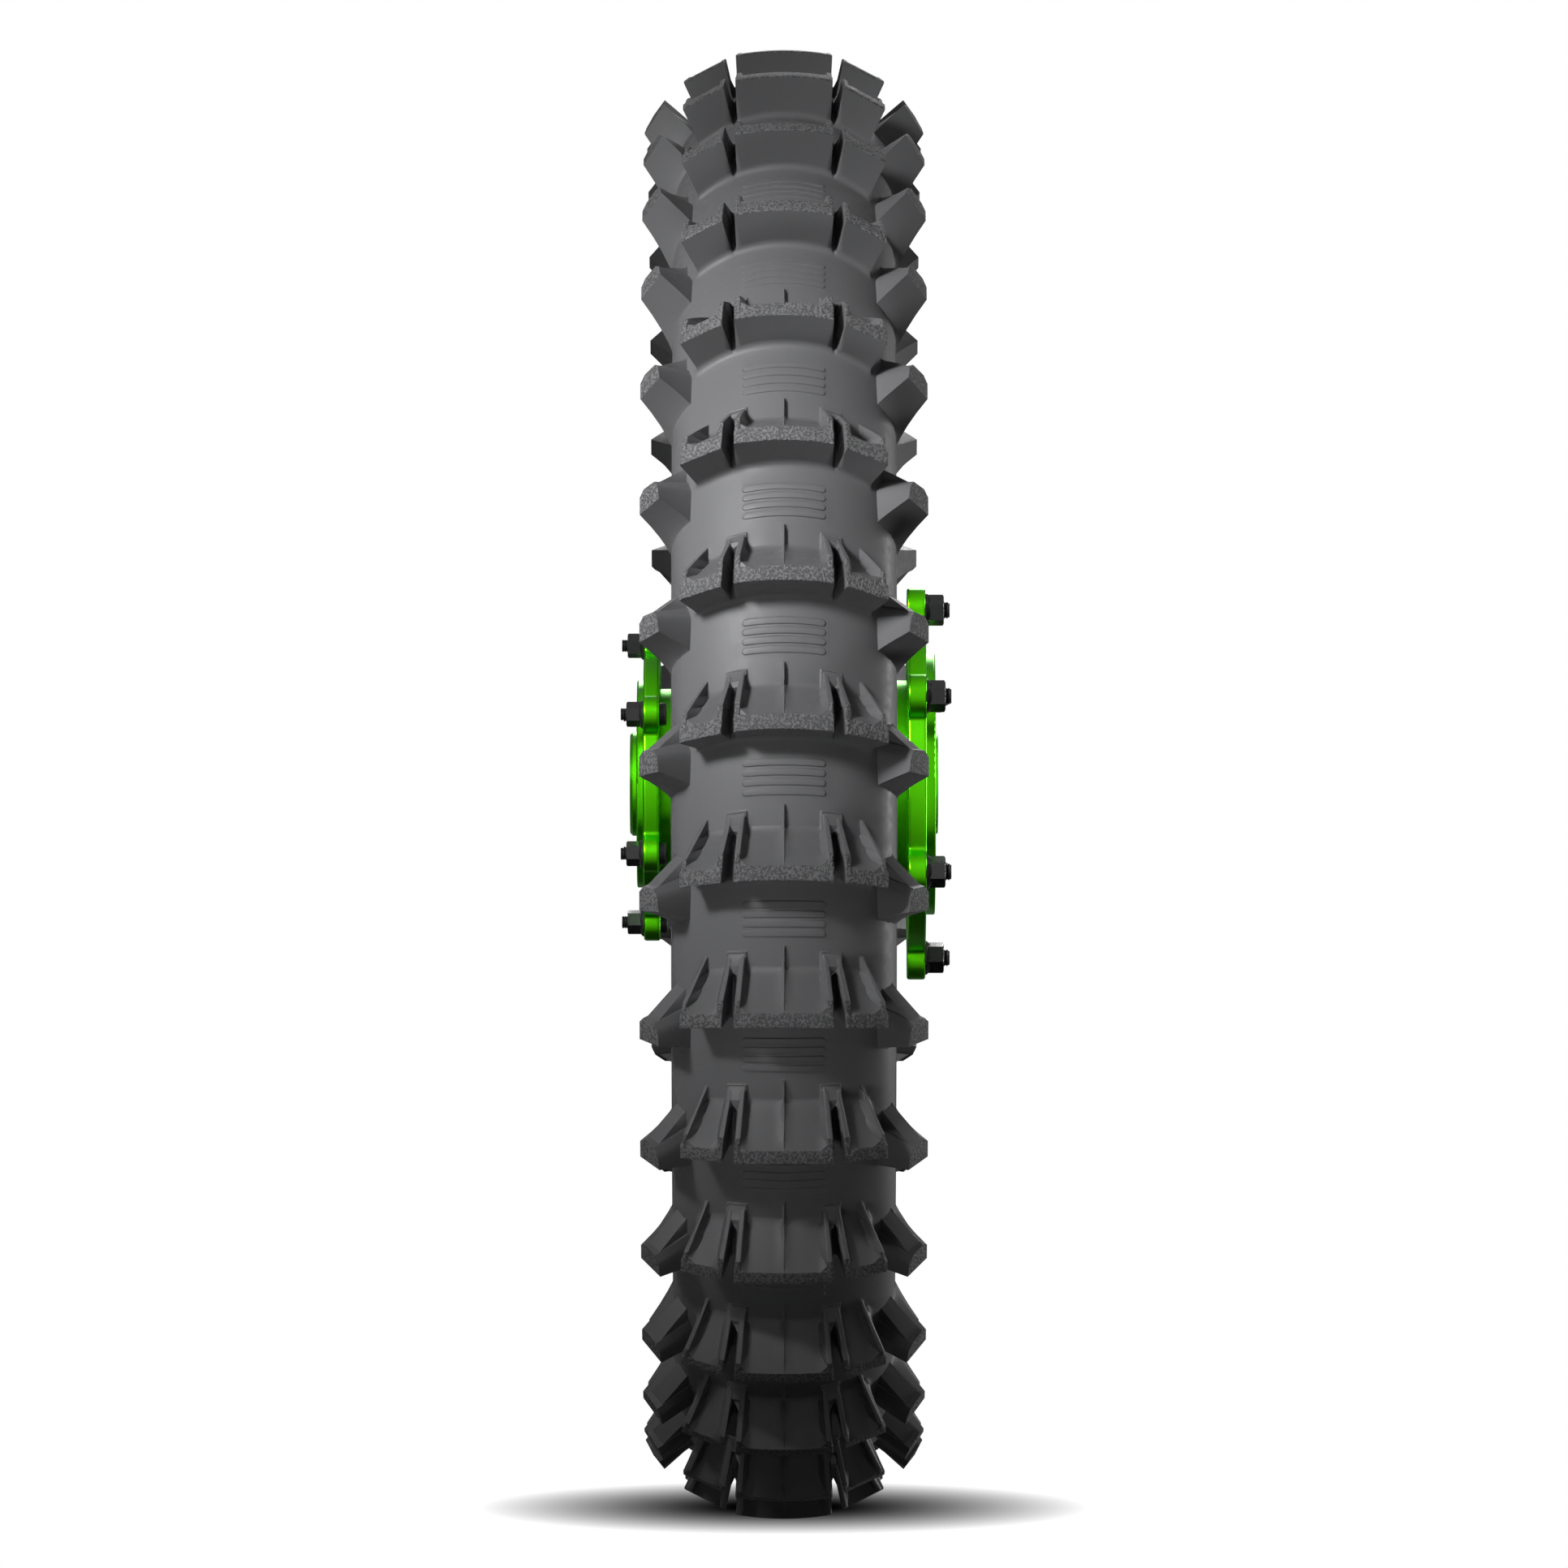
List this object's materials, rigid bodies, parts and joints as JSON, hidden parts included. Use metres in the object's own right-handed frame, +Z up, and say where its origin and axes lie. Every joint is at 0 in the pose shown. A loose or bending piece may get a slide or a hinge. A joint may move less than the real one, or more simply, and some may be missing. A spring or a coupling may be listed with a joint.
{
  "type": "motorcycle tire",
  "caption": "Knobby off-road motorcycle rear tire mounted on its spoked wheel, with hub, mounting flanges, bearings, axle spacers, inner tube, valve and rim lock.",
  "frame": {"origin": "the wheel's centre: on the axle's line, in the tyre's middle plane", "axes": "+Y along the axle towards the sprocket side (right), +Z up, +X horizontal"},
  "size_m": [0.6782, 0.1516, 0.6782],
  "materials": {
    "tread_rubber": "matte moulded rubber with a fine grain on the knobs' tops",
    "sidewall_rubber": "smooth satin rubber",
    "cord_casing": "rubbered cord plies",
    "tube_rubber": "soft satin butyl rubber",
    "bead_steel": "bronzed steel wire",
    "rim_alloy": "black anodised, satin",
    "tape": "thin rubber band",
    "spoke_steel": "bright stainless steel",
    "nipple_steel": "nickel plated",
    "valve_brass": "nickel plated brass, satin",
    "cap_plastic": "moulded black plastic",
    "lock_alloy": "cast, satin",
    "zinc_steel": "zinc plated",
    "hub_green": "green anodised, glossy",
    "spacer_green": "green anodised, glossy",
    "black_steel": "black oxide, glossy with a trace of oil",
    "bearing_steel": "ground bearing steel",
    "cage_steel": "pressed sheet",
    "seal_rubber": "moulded nitrile rubber",
    "tube_alloy": "plain turned aluminium",
    "spring_steel": "blackened spring steel"
  },
  "bodies": {
    "axle_core": {"bearing_left_inner_race": "bearing_steel", "bearing_right_inner_inner_race": "bearing_steel", "bearing_right_outer_inner_race": "bearing_steel", "distance_tube": "tube_alloy", "axle_spacer_left": "spacer_green", "axle_spacer_right": "spacer_green"},
    "wheel": {"tire_tread": "tread_rubber", "tire_carcass": "cord_casing", "tire_sidewall_left": "sidewall_rubber", "tire_sidewall_right": "sidewall_rubber", "bead_wire_left": "bead_steel", "bead_wire_right": "bead_steel", "inner_tube": "tube_rubber", "rim": "rim_alloy", "rim_tape": "tape", "spoke_nipples": "nipple_steel", "spokes_left_outer": "spoke_steel", "spokes_left_inner": "spoke_steel", "spokes_right_outer": "spoke_steel", "spokes_right_inner": "spoke_steel", "valve_stem": "valve_brass", "valve_core": "valve_brass", "valve_nut": "valve_brass", "rim_lock_shoe": "lock_alloy", "rim_lock_bolt": "zinc_steel", "rim_lock_washer": "zinc_steel", "rim_lock_nut": "zinc_steel", "hub": "hub_green", "bearing_circlip": "spring_steel", "oil_seal_left": "seal_rubber", "oil_seal_right": "seal_rubber", "sprocket_bolts": "black_steel", "sprocket_nuts": "black_steel", "disc_bolts": "black_steel", "disc_nuts": "black_steel", "bearing_left_outer_race": "bearing_steel", "bearing_left_shields": "seal_rubber", "bearing_right_inner_outer_race": "bearing_steel", "bearing_right_inner_shields": "seal_rubber", "bearing_right_outer_outer_race": "bearing_steel", "bearing_right_outer_shields": "seal_rubber"},
    "cage_left": {"bearing_left_cage": "cage_steel", "bearing_left_balls": "bearing_steel"},
    "cage_right_inner": {"bearing_right_inner_cage": "cage_steel", "bearing_right_inner_balls": "bearing_steel"},
    "cage_right_outer": {"bearing_right_outer_cage": "cage_steel", "bearing_right_outer_balls": "bearing_steel"},
    "valve_pin": {"valve_pin": "valve_brass"},
    "valve_cap": {"valve_cap": "cap_plastic"}
  },
  "joints": [
    {"name": "wheel_spin", "type": "hinge", "parent": "axle_core", "child": "wheel", "pos_m": [0, 0, 0], "axis": [0, 1, 0], "continuous": true},
    {"name": "cage_left_spin", "type": "hinge", "parent": "axle_core", "child": "cage_left", "pos_m": [0, 0, 0], "axis": [0, 1, 0], "continuous": true},
    {"name": "cage_right_inner_spin", "type": "hinge", "parent": "axle_core", "child": "cage_right_inner", "pos_m": [0, 0, 0], "axis": [0, 1, 0], "continuous": true},
    {"name": "cage_right_outer_spin", "type": "hinge", "parent": "axle_core", "child": "cage_right_outer", "pos_m": [0, 0, 0], "axis": [0, 1, 0], "continuous": true},
    {"name": "valve_pin_press", "type": "slide", "parent": "wheel", "child": "valve_pin", "axis": [0, 0, 1], "range_m": [0, 0.0012], "stiffness_N_per_m": 1500, "springref_m": -0.0006},
    {"name": "valve_cap_off", "type": "slide", "parent": "wheel", "child": "valve_cap", "axis": [0, 0, -1], "range_m": [0, 0.014]}
  ],
  "couplings": [
    {"joint": "cage_left_spin", "follows": "wheel_spin", "ratio": 0.5917},
    {"joint": "cage_right_inner_spin", "follows": "wheel_spin", "ratio": 0.5917},
    {"joint": "cage_right_outer_spin", "follows": "wheel_spin", "ratio": 0.5917}
  ]
}
